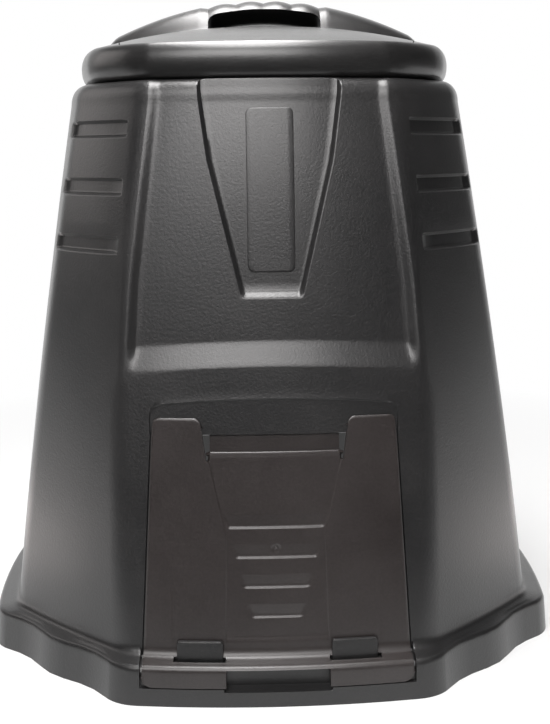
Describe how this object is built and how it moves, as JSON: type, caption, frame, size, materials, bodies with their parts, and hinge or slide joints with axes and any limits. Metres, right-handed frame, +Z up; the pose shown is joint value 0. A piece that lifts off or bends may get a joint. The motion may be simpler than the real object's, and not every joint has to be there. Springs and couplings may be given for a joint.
{
  "type": "compost bin with lid",
  "caption": "Tapered eight-sided black plastic compost bin with a lift-off lid, an arched lid handle and a sliding hatch door at the foot of the front.",
  "frame": {"origin": "on the ground, under the centre of the shell", "axes": "+Z up; the front with the hatch door faces -Y; +X is to the right when facing the back from the front"},
  "size_m": [0.75, 0.75, 0.8223],
  "materials": {
    "shell_black_polyethylene": "semi-gloss moulded recycled polyethylene with a fine grain",
    "lid_black_polyethylene": "semi-gloss moulded recycled polyethylene, slightly smoother than the shell",
    "door_brown_black_polypropylene": "satin moulded plastic, a little warmer than the shell"
  },
  "bodies": {
    "shell": {"body_shell": "shell_black_polyethylene"},
    "lid": {"lid": "lid_black_polyethylene"},
    "door": {"hatch_door": "door_brown_black_polypropylene"}
  },
  "joints": [
    {"name": "lid_lift", "type": "slide", "parent": "shell", "child": "lid", "axis": [0, 0, 1], "range_m": [0, 0.15]},
    {"name": "door_slide", "type": "slide", "parent": "shell", "child": "door", "axis": [0, 0.1113, 0.9938], "range_m": [0, 0.018]}
  ]
}
